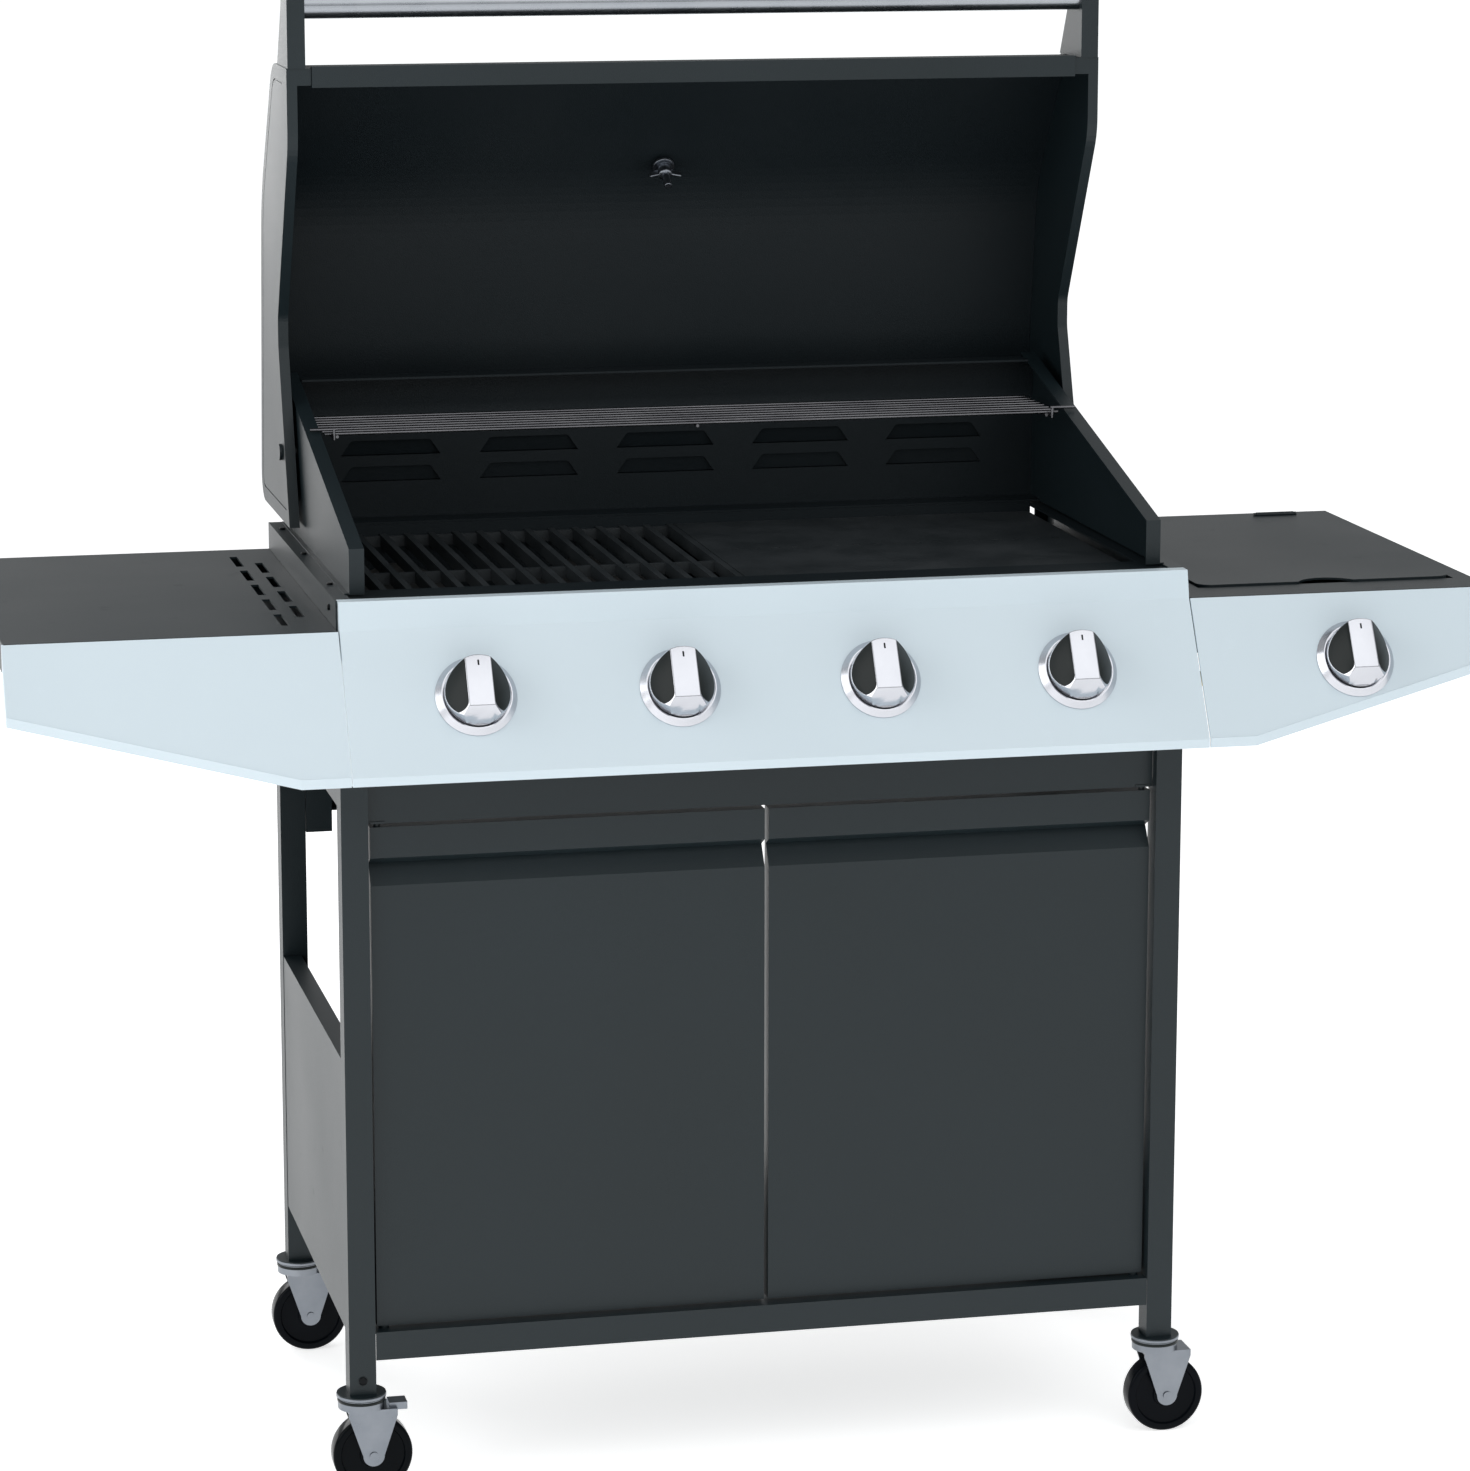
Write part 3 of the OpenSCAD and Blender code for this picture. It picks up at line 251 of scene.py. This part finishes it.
def cast_iron(name, dark, light, rough, height):
    """Enamelled cast iron with a pebbled skin."""
    material, tree, shader = start_finish(name)
    skin = add(tree, "ShaderNodeGroup", node_tree=CAST)
    skin.inputs["Height"].default_value = height
    tree.links.new(two_tones(tree, skin.outputs["Patch"], dark, light), shader.inputs["Base Color"])
    uneven = spread(tree, skin.outputs["Patch"], 0.0, 1.0, rough, rough + PATCH_ROUGHER)
    tree.links.new(uneven, shader.inputs["Roughness"])
    tree.links.new(skin.outputs["Normal"], shader.inputs["Normal"])
    return material


DARK_PAINT = powder_coat("dark_paint", (0.008, 0.015, 0.018), (0.011, 0.019, 0.023),
                         rough=0.40, scuffed=0.25, height=0.25, shine=0.36)
INNER_ENAMEL = powder_coat("inner_enamel", (0.007, 0.012, 0.015), (0.012, 0.017, 0.020),
                           rough=0.5, scuffed=0.35, height=0.35, shine=0.2)
SILVER_PAINT = powder_coat("silver_paint", (0.64, 0.74, 0.80), (0.67, 0.77, 0.83),
                           rough=0.38, scuffed=0.10, height=0.12)
CHROME = metal("chrome", (0.56, 0.57, 0.61), (0.63, 0.64, 0.68),
               rough=0.16, stretch=(300.0, 300.0, 300.0), height=0.02)
BAR_STEEL = metal("bar_steel", (0.33, 0.35, 0.38), (0.39, 0.41, 0.44),
                  rough=0.22, stretch=(4.0, 900.0, 900.0))
STEEL = metal("steel", (0.20, 0.20, 0.20), (0.30, 0.29, 0.28),
              rough=0.35, stretch=(40.0, 400.0, 400.0))
# Rack wire: its dark base colour is painted shade, standing in for the dark inside of the grill that the
# chrome rods reflect.
RACK_WIRE_PAINTED_DARK = metal("rack_wire", (0.12, 0.12, 0.13), (0.18, 0.18, 0.19),
                  rough=0.2, stretch=(40.0, 400.0, 400.0))
CAST_IRON = cast_iron("cast_iron", (0.018, 0.023, 0.026), (0.028, 0.034, 0.038),
                      rough=0.46, height=0.35)
BRASS = metal("brass", (0.55, 0.42, 0.18), (0.68, 0.54, 0.26),
              rough=0.3, stretch=(60.0, 60.0, 60.0))
ZINC = metal("zinc", (0.21, 0.23, 0.26), (0.30, 0.32, 0.35),
             rough=0.24, stretch=(90.0, 90.0, 90.0))
WHEEL_PLASTIC = powder_coat("wheel_plastic", (0.002, 0.003, 0.004), (0.003, 0.004, 0.006),
                            rough=0.16, scuffed=0.10, height=0.05, shine=0.06)
BOLT_STEEL = powder_coat("bolt_steel", (0.003, 0.004, 0.005), (0.006, 0.007, 0.008),
                         rough=0.30, scuffed=0.2, height=0.1, shine=0.12)
KNOB_BLACK = powder_coat("knob_black", (0.008, 0.011, 0.011), (0.010, 0.014, 0.014),
                         rough=0.30, scuffed=0.2, height=0.1, shine=0.2)
DIAL_WHITE = powder_coat("dial_face", (0.62, 0.62, 0.60), (0.70, 0.70, 0.68),
                         rough=0.35, scuffed=0.1, height=0.05)

FINISH = {
    "dark_paint": DARK_PAINT,
    "inner_enamel": INNER_ENAMEL,
    "silver_paint": SILVER_PAINT,
    "chrome": CHROME,
    "bar_steel": BAR_STEEL,
    "steel": STEEL,
    "rack_wire": RACK_WIRE_PAINTED_DARK,
    "cast_iron": CAST_IRON,
    "brass": BRASS,
    "zinc": ZINC,
    "wheel_plastic": WHEEL_PLASTIC,
    "bolt_steel": BOLT_STEEL,
}


def dress(shape, finish):
    shape.data.materials.clear()
    shape.data.materials.append(finish)


for part in frame["record"]["subparts"]:
    dress(NODES[part["node"]], FINISH[part["material_slot"]])


# ---------- modelling helpers ----------

NEAR = 0.001
SMOOTH_BELOW = 40.0


def begin():
    """Leaves edit mode behind and clears the selection."""
    if bpy.context.object and bpy.context.object.mode != "OBJECT":
        bpy.ops.object.mode_set(mode="OBJECT")
    bpy.ops.object.select_all(action="DESELECT")


def cylinder(radius, depth, low, sides=64):
    """Upright cylinder whose foot is at the height low."""
    begin()
    bpy.ops.mesh.primitive_cylinder_add(vertices=sides, radius=radius, depth=depth, end_fill_type="NGON",
                                        location=(0, 0, low + depth / 2))
    bpy.ops.object.transform_apply(location=True, rotation=True, scale=True)
    return bpy.context.object


def block(size, middle):
    begin()
    bpy.ops.mesh.primitive_cube_add(size=1.0, location=middle)
    shape = bpy.context.object
    shape.scale = size
    bpy.ops.object.transform_apply(location=True, rotation=True, scale=True)
    return shape


def pick(shape, kind, wanted):
    """Goes to edit mode with only the wanted faces, edges or vertices selected."""
    bpy.ops.object.mode_set(mode="EDIT")
    bpy.ops.mesh.select_all(action="DESELECT")
    bpy.ops.mesh.select_mode(type=kind)
    bpy.ops.object.mode_set(mode="OBJECT")
    mesh = shape.data
    if kind == "FACE":
        for face in mesh.polygons:
            face.select = wanted(face)
    elif kind == "EDGE":
        for edge in mesh.edges:
            edge.select = wanted(*[mesh.vertices[v].co for v in edge.vertices])
    else:
        for vertex in mesh.vertices:
            vertex.select = wanted(vertex.co)
    bpy.ops.object.mode_set(mode="EDIT")


def ends(face):
    return abs(face.normal.z) > 0.9999


def top(face):
    return face.normal.z > 0.9


def underside(face):
    return face.normal.z < -0.9


def step_in(*steps):
    """Insets the picked faces in turn, each step by its width and by how far it rises."""
    for width, rise in steps:
        bpy.ops.mesh.inset(thickness=width, depth=rise)


def bore(shape):
    """Opens a hole through the innermost faces of the two ends."""
    pick(shape, "FACE", lambda face: ends(face) and face.center.xy.length < NEAR)
    bpy.ops.mesh.bridge_edge_loops()


def cut(shape, place, normal):
    """Takes away what lies on the side the normal points to, and closes the cut."""
    pick(shape, "FACE", lambda face: True)
    bpy.ops.mesh.bisect(plane_co=place, plane_no=normal, use_fill=True, clear_outer=True)


def soften(shape, width, segments=3, angle=35.0):
    """Rounds every edge sharper than angle and smooths the shading."""
    bpy.ops.object.mode_set(mode="OBJECT")
    bevel = shape.modifiers.new("bevel", "BEVEL")
    bevel.width = width
    bevel.segments = segments
    bevel.limit_method = "ANGLE"
    bevel.angle_limit = math.radians(angle)
    bpy.context.view_layer.objects.active = shape
    shape.select_set(True)
    bpy.ops.object.modifier_apply(modifier="bevel")
    bpy.ops.object.shade_smooth_by_angle(angle=math.radians(SMOOTH_BELOW))


def join(name, shapes):
    """Makes one named object of the shapes."""
    begin()
    for shape in shapes:
        shape.select_set(True)
    bpy.context.view_layer.objects.active = shapes[0]
    if len(shapes) > 1:
        bpy.ops.object.join()
    joined = bpy.context.object
    joined.name = name
    joined.data.name = name
    return joined


def copy_of(pattern, name, matrix):
    """A copy with its own mesh, put in place with its object left unmoved."""
    begin()
    mesh = pattern.data.copy()
    mesh.name = name
    mesh.transform(matrix)
    piece = bpy.data.objects.new(name, mesh)
    bpy.context.collection.objects.link(piece)
    return piece


def settle(piece, body, slot, *nodes):
    """Fixes a piece to a body and lets it stand in for CAD nodes."""
    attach(piece, body)
    if nodes:
        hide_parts(*nodes)


def joint(name):
    return next(j for j in frame["record"]["behaviour"]["joints"] if j["name"] == name)


def middle_of(node):
    low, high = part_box(node)
    return (Vector(low) + Vector(high)) / 2


# ---------- knobs ----------

# A knob is modelled with its axis along Z and its mark towards +Y.
KNOB_COUNT = 5
KNOB_R = 0.0303
KNOB_LOW = 0.0070
KNOB_RIM = 0.0098
GRIP_HALF = 0.0115
GRIP_HIGH = 0.0293
FOOT = 0.0180
INLAY_R = 0.0296
INLAY_LOW = KNOB_LOW + 0.001
INLAY_GAP = 0.0006
INLAY_FOOT = 0.0212
INLAY_CORNER = 0.0080
INLAY_PROUD = 0.0003
MARK_SIZE = (0.0017, 0.0052, 0.0004)
MARK_PLACE = (0, 0.0225, GRIP_HIGH - 0.0001)


def side_slope(side):
    """Direction square to a sloping side of the drum."""
    return Vector((side * (GRIP_HIGH - KNOB_RIM), 0, KNOB_R - GRIP_HALF)).normalized()


def drum():
    """Chrome drum whose sides slope down from the grip, and whose foot slopes below it."""
    shape = cylinder(KNOB_R, GRIP_HIGH - KNOB_LOW, KNOB_LOW, sides=96)
    for side in (-1, 1):
        cut(shape, (side * GRIP_HALF, 0, GRIP_HIGH), side_slope(side))
    cut(shape, (0, -FOOT, GRIP_HIGH), (0, KNOB_RIM - GRIP_HIGH, KNOB_R - FOOT))
    soften(shape, 0.0008, segments=4, angle=20.0)
    dress(shape, CHROME)
    return shape


def inlay(side):
    """Dark inlay on one sloping side: straight along the grip and rounded at its foot."""
    shape = cylinder(INLAY_R, GRIP_HIGH - KNOB_LOW, INLAY_LOW, sides=96)
    cut(shape, (side * (GRIP_HALF + INLAY_GAP), 0, 0), (-side, 0, 0))
    cut(shape, (0, -INLAY_FOOT, 0), (0, -1, 0))

    def by_the_grip_and_foot(a, b):
        return abs(a.z - b.z) > NEAR and a.y < NEAR - INLAY_FOOT and abs(a.x) < GRIP_HALF + NEAR

    pick(shape, "EDGE", by_the_grip_and_foot)
    bpy.ops.mesh.bevel(offset=INLAY_CORNER, segments=10)
    slope = side_slope(side)
    cut(shape, Vector((side * GRIP_HALF, 0, GRIP_HIGH)) + slope * INLAY_PROUD, slope)
    soften(shape, 0.0002, segments=2, angle=30.0)
    dress(shape, KNOB_BLACK)
    return shape


def mark():
    """The line on the grip that shows where the knob points."""
    shape = block(MARK_SIZE, MARK_PLACE)
    soften(shape, 0.0001, segments=2)
    dress(shape, KNOB_BLACK)
    return shape


def knobs():
    line = mark()
    pattern = join("knob_pattern", [drum(), inlay(-1), inlay(1), line])
    for i in range(1, KNOB_COUNT + 1):
        turn = joint(f"knob_{i}_turn")
        out = Vector(turn["axis"]).normalized()
        right = Vector((1, 0, 0))
        up = out.cross(right)
        where = Matrix.Translation(turn["pos_m"]) @ Matrix((right, up, out)).transposed().to_4x4()
        piece = copy_of(pattern, f"knob_cap_{i}", where)
        settle(piece, f"knob_{i}", "chrome", f"knob_{i}")
    bpy.data.objects.remove(pattern)


knobs()


# ---------- casters ----------

# A wheel and a ring are modelled lying flat. Each step is a width and a rise.
TYRE_R = 0.0375
TYRE_HALF = 0.0110
TREAD_EDGE = 0.0035
TYRE_WALL = (0.0035, 0.0)
WEB_DROP = (0.0012, -0.0028)
WEB = (0.0165, 0.0)
HUB_RISE = (0.0008, 0.0026)
HUB = (0.0080, 0.0)

RING_R = 0.0234
RING_HIGH = 0.0026
RING_ABOVE_FORK = 0.0010
RACE_R = 0.0226
RACE_HIGH = 0.0028
RACE_BELOW_FORK = 0.0034
RING_LIP = (0.0014, 0.0)
RING_DROP_WIDTH = 0.0004
RING_DROP_SHARE = 0.2
RING_FLOOR = (0.0022, 0.0)


def wheel_pattern():
    """Rounded tread, sunken web, raised hub and the hole for the axle."""
    shape = cylinder(TYRE_R, TYRE_HALF * 2, -TYRE_HALF, sides=96)
    pick(shape, "EDGE", lambda a, b: abs(a.z - b.z) < NEAR)
    bpy.ops.mesh.bevel(offset=TREAD_EDGE, segments=5, profile=0.5)
    pick(shape, "FACE", ends)
    step_in(TYRE_WALL, WEB_DROP, WEB, HUB_RISE, HUB)
    bore(shape)
    soften(shape, 0.0004, segments=2, angle=40.0)
    dress(shape, WHEEL_PLASTIC)
    return join("wheel_pattern", [shape])


def ring_pattern(name, radius, high, finish):
    """Ring with sunken ends."""
    shape = cylinder(radius, high, 0.0)
    pick(shape, "FACE", ends)
    step_in(RING_LIP, (RING_DROP_WIDTH, -high * RING_DROP_SHARE), RING_FLOOR)
    bore(shape)
    soften(shape, 0.0003, segments=2, angle=40.0)
    dress(shape, finish)
    return join(name, [shape])


def casters():
    """Four wheels, each with a pressed ring on its leg and a ball race on its fork."""
    wheel = wheel_pattern()
    ring = ring_pattern("ring_pattern", RING_R, RING_HIGH, ZINC)
    race = ring_pattern("race_pattern", RACE_R, RACE_HIGH, KNOB_BLACK)
    stood_up = Matrix.Rotation(math.radians(90), 4, "X")
    for corner in ("front_left", "front_right", "rear_left", "rear_right"):
        wheel_place = Matrix.Translation(middle_of(f"wheel_{corner}")) @ stood_up
        piece = copy_of(wheel, f"tyre_{corner}", wheel_place)
        settle(piece, f"roll_{corner}", "wheel_plastic", f"wheel_{corner}")
        x, y, _ = joint(f"swivel_{corner}_turn")["pos_m"]
        fork_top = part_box(f"fork_{corner}")[1][2]
        ring_place = Matrix.Translation((x, y, fork_top + RING_ABOVE_FORK))
        settle(copy_of(ring, f"caster_ring_{corner}", ring_place), "body", "zinc")
        race_place = Matrix.Translation((x, y, fork_top - RACE_BELOW_FORK))
        settle(copy_of(race, f"ball_race_{corner}", race_place), f"swivel_{corner}", "bolt_steel")
    for pattern in (wheel, ring, race):
        bpy.data.objects.remove(pattern)


casters()


# ---------- thermometer ----------

# The thermometer is modelled with its dial facing +Z and its stud pointing down.
# CASE_RIM and CASE_DROP are steps, a width and a rise.
LID_SLOPE = 35.19
DIAL_R = 0.0360
DIAL_LOW = 0.0012
DIAL_TOP = 0.0142
CASE_RIM = (0.0030, 0.0)
CASE_DROP = (0.0006, -0.0030)
FACE_R = 0.0318
FACE_THICK = 0.0008
FACE_DOWN = 0.0032
TICK_COUNT = 13
TICK_FIRST = 120
TICK_APART = 20
TICK_LONG = 0.0048
TICK_SHORT = 0.0030
TICK_OUT = 0.0275
TICK_DOWN = 0.0022
NEEDLE_TURN = 118
NEEDLE_SIZE = (0.0022, 0.0280, 0.0006)
NEEDLE_MIDDLE = 0.0090
NEEDLE_TIP = 0.0230
NEEDLE_DOWN = 0.0016
STUD_R = 0.0038
STUD_LOW = -0.0395
STUD_LONG = 0.0410
WASHER_R = 0.0110
WASHER_LOW = -0.0110
WASHER_THICK = 0.0030
HUB_R = 0.0070
HUB_LOW = -0.0222
HUB_LONG = 0.0120
HUB_CROWN = 0.0012
WING_SIZE = (0.0105, 0.0034, 0.0085)
WING_OUT = 0.0108
WING_LOW = -0.0185
WING_TIP = 0.0160
WING_SWEEP = 0.0030


def turned(shape, degrees):
    """Turns a shape about Z inside its mesh."""
    shape.data.transform(Matrix.Rotation(math.radians(degrees), 4, "Z"))


def dial_case():
    """Round case with a raised rim."""
    case = cylinder(DIAL_R, DIAL_TOP - DIAL_LOW, DIAL_LOW, sides=96)
    pick(case, "FACE", top)
    step_in(CASE_RIM, CASE_DROP)
    soften(case, 0.0009)
    dress(case, BAR_STEEL)
    return case


def dial_face():
    face = cylinder(FACE_R, FACE_THICK, DIAL_TOP - FACE_DOWN, sides=96)
    pick(face, "FACE", top)
    step_in((0.0010, 0.0002))
    soften(face, 0.0002, segments=2)
    dress(face, DIAL_WHITE)
    return face


def tick(number):
    """One line of the scale. Every third one is long."""
    length = TICK_LONG if number % 3 == 0 else TICK_SHORT
    line = block((0.0009, length, 0.0003), (0, TICK_OUT, DIAL_TOP - TICK_DOWN))
    soften(line, 0.0001, segments=2)
    turned(line, TICK_FIRST - TICK_APART * number)
    dress(line, KNOB_BLACK)
    return line


def needle():
    """Pointer that narrows to its tip."""
    pointer = block(NEEDLE_SIZE, (0, NEEDLE_MIDDLE, DIAL_TOP - NEEDLE_DOWN))
    pick(pointer, "VERT", lambda at: at.y > NEEDLE_TIP - NEAR)
    bpy.ops.transform.resize(value=(0.25, 1, 1), center_override=(0, NEEDLE_TIP, 0))
    soften(pointer, 0.0001, segments=2)
    turned(pointer, NEEDLE_TURN)
    dress(pointer, KNOB_BLACK)
    return pointer


def stud():
    rod = cylinder(STUD_R, STUD_LONG, STUD_LOW, sides=32)
    pick(rod, "FACE", ends)
    step_in((0.0012, 0.0))
    soften(rod, 0.0008)
    dress(rod, ZINC)
    return rod


def washer():
    disc = cylinder(WASHER_R, WASHER_THICK, WASHER_LOW, sides=48)
    pick(disc, "FACE", underside)
    step_in((0.0022, 0.0), (0.0008, -0.0006))
    soften(disc, 0.0006)
    dress(disc, ZINC)
    return disc


def nut_hub():
    """Middle of the wing nut, crowned at its outer end."""
    hub = cylinder(HUB_R, HUB_LONG, HUB_LOW, sides=48)
    pick(hub, "FACE", underside)
    step_in((0.0022, 0.0))
    bpy.ops.transform.translate(value=(0, 0, -HUB_CROWN))
    soften(hub, 0.0008)
    dress(hub, ZINC)
    return hub


def nut_wing(side):
    """One wing of the nut, swept back and thinned at its tip."""
    wing = block(WING_SIZE, (side * WING_OUT, 0, WING_LOW))
    pick(wing, "VERT", lambda at: abs(at.x) > WING_OUT)
    bpy.ops.transform.translate(value=(0, 0, -WING_SWEEP))
    tip = (side * WING_TIP, 0, WING_LOW - WING_SWEEP)
    bpy.ops.transform.resize(value=(1, 0.7, 0.85), center_override=tip)
    soften(wing, 0.0013, segments=4)
    dress(wing, ZINC)
    return wing


def thermometer():
    """Dial outside the lid, with its stud, washer and wing nut inside."""
    dial = [dial_case(), dial_face()] + [tick(k) for k in range(TICK_COUNT)] + [needle()]
    fixing = [stud(), washer(), nut_hub()] + [nut_wing(side) for side in (-1, 1)]
    pattern = join("thermometer_pattern", dial + fixing)
    high = Vector(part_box("thermometer")[1])
    tilt = math.radians(LID_SLOPE - 90)
    back = DIAL_R * math.cos(tilt) - DIAL_TOP * math.sin(tilt)
    rise = -DIAL_R * math.sin(tilt) + DIAL_TOP * math.cos(tilt)
    where = Matrix.Translation((0, high.y - back, high.z - rise)) @ Matrix.Rotation(tilt, 4, "X")
    settle(copy_of(pattern, "thermometer_set", where), "lid", "bar_steel", "thermometer")
    bpy.data.objects.remove(pattern)


thermometer()


# ---------- studio ----------

FLOOR_SIZE = 28.0
FLOOR_GLOW = 0.66
SKY_COLOUR = (0.97, 0.99, 1.0, 1.0)
SKY_BELOW = 1.1
SKY_ABOVE = 0.48
HORIZON = (-0.02, 0.03)
LAMP_AIM = Vector((0, 0, 0.8))
LAMPS = (
    ("left_box", (-3.4, -1.0, 2.0), (2.6, 2.6), 40.0),
    ("front_box", (0.7, -3.2, 3.7), (4.4, 3.0), 44.0),
    ("back_left_box", (-1.9, 3.4, 1.8), (1.8, 2.0), 36.0),
)
EYE_PLACE = Vector((-1.016, -4.538, 1.6178))
EYE_YAW = 12.84
EYE_PITCH = 11.61
EYE_ROLL = 0.041
SENSOR_MM = 36.0
LENS_MM = 119.85


def lay_floor():
    """Pale floor that glows a little, so that it comes out almost white."""
    begin()
    bpy.ops.mesh.primitive_plane_add(size=FLOOR_SIZE)
    floor = bpy.context.object
    floor.name = "floor"
    paper, tree, shader = start_finish("paper", Roughness=0.9, Emission_Color=(1.0, 1.0, 1.0, 1.0),
                                       Emission_Strength=FLOOR_GLOW)
    cloud = noise(tree, object_place(tree), scale=1.5)
    pale = two_tones(tree, cloud, (0.90, 0.90, 0.90), (0.93, 0.93, 0.93))
    tree.links.new(pale, shader.inputs["Base Color"])
    dress(floor, paper)


def light_sky():
    """Even sky that is brighter below the horizon."""
    world = bpy.data.worlds.new("studio")
    bpy.context.scene.world = world
    world.use_nodes = True
    sky = world.node_tree
    apart = add(sky, "ShaderNodeSeparateXYZ")
    sky.links.new(add(sky, "ShaderNodeTexCoord").outputs["Generated"], apart.inputs[0])
    strength = spread(sky, apart.outputs["Z"], *HORIZON, to_low=SKY_BELOW, to_high=SKY_ABOVE)
    background = sky.nodes["Background"]
    sky.links.new(strength, background.inputs["Strength"])
    background.inputs["Color"].default_value = SKY_COLOUR


def hang_lamp(name, place, size, power):
    """Soft box turned towards the middle of the grill."""
    lamp = bpy.data.lights.new(name, "AREA")
    lamp.shape = "RECTANGLE"
    lamp.size, lamp.size_y = size
    lamp.energy = power
    holder = bpy.data.objects.new(name, lamp)
    holder.location = place
    holder.rotation_euler = (LAMP_AIM - Vector(place)).to_track_quat("-Z", "Y").to_euler()
    bpy.context.collection.objects.link(holder)


def look_from(place, yaw, pitch, roll):
    """Camera matrix at place, turned yaw to the right of +Y and pitch down."""
    turn = (Matrix.Rotation(math.radians(-yaw), 4, "Z") @ Matrix.Rotation(math.radians(90 - pitch), 4, "X")
            @ Matrix.Rotation(math.radians(roll), 4, "Z"))
    return Matrix.Translation(place) @ turn


def set_camera():
    eye = bpy.data.cameras.new("eye")
    eye.sensor_width = SENSOR_MM
    eye.lens = LENS_MM
    eye.clip_end = 100.0
    holder = bpy.data.objects.new("eye", eye)
    holder.matrix_world = look_from(EYE_PLACE, EYE_YAW, EYE_PITCH, EYE_ROLL)
    bpy.context.collection.objects.link(holder)
    bpy.context.scene.camera = holder
    bpy.context.scene.view_settings.view_transform = "Standard"


lay_floor()
light_sky()
for lamp_row in LAMPS:
    hang_lamp(*lamp_row)
set_camera()
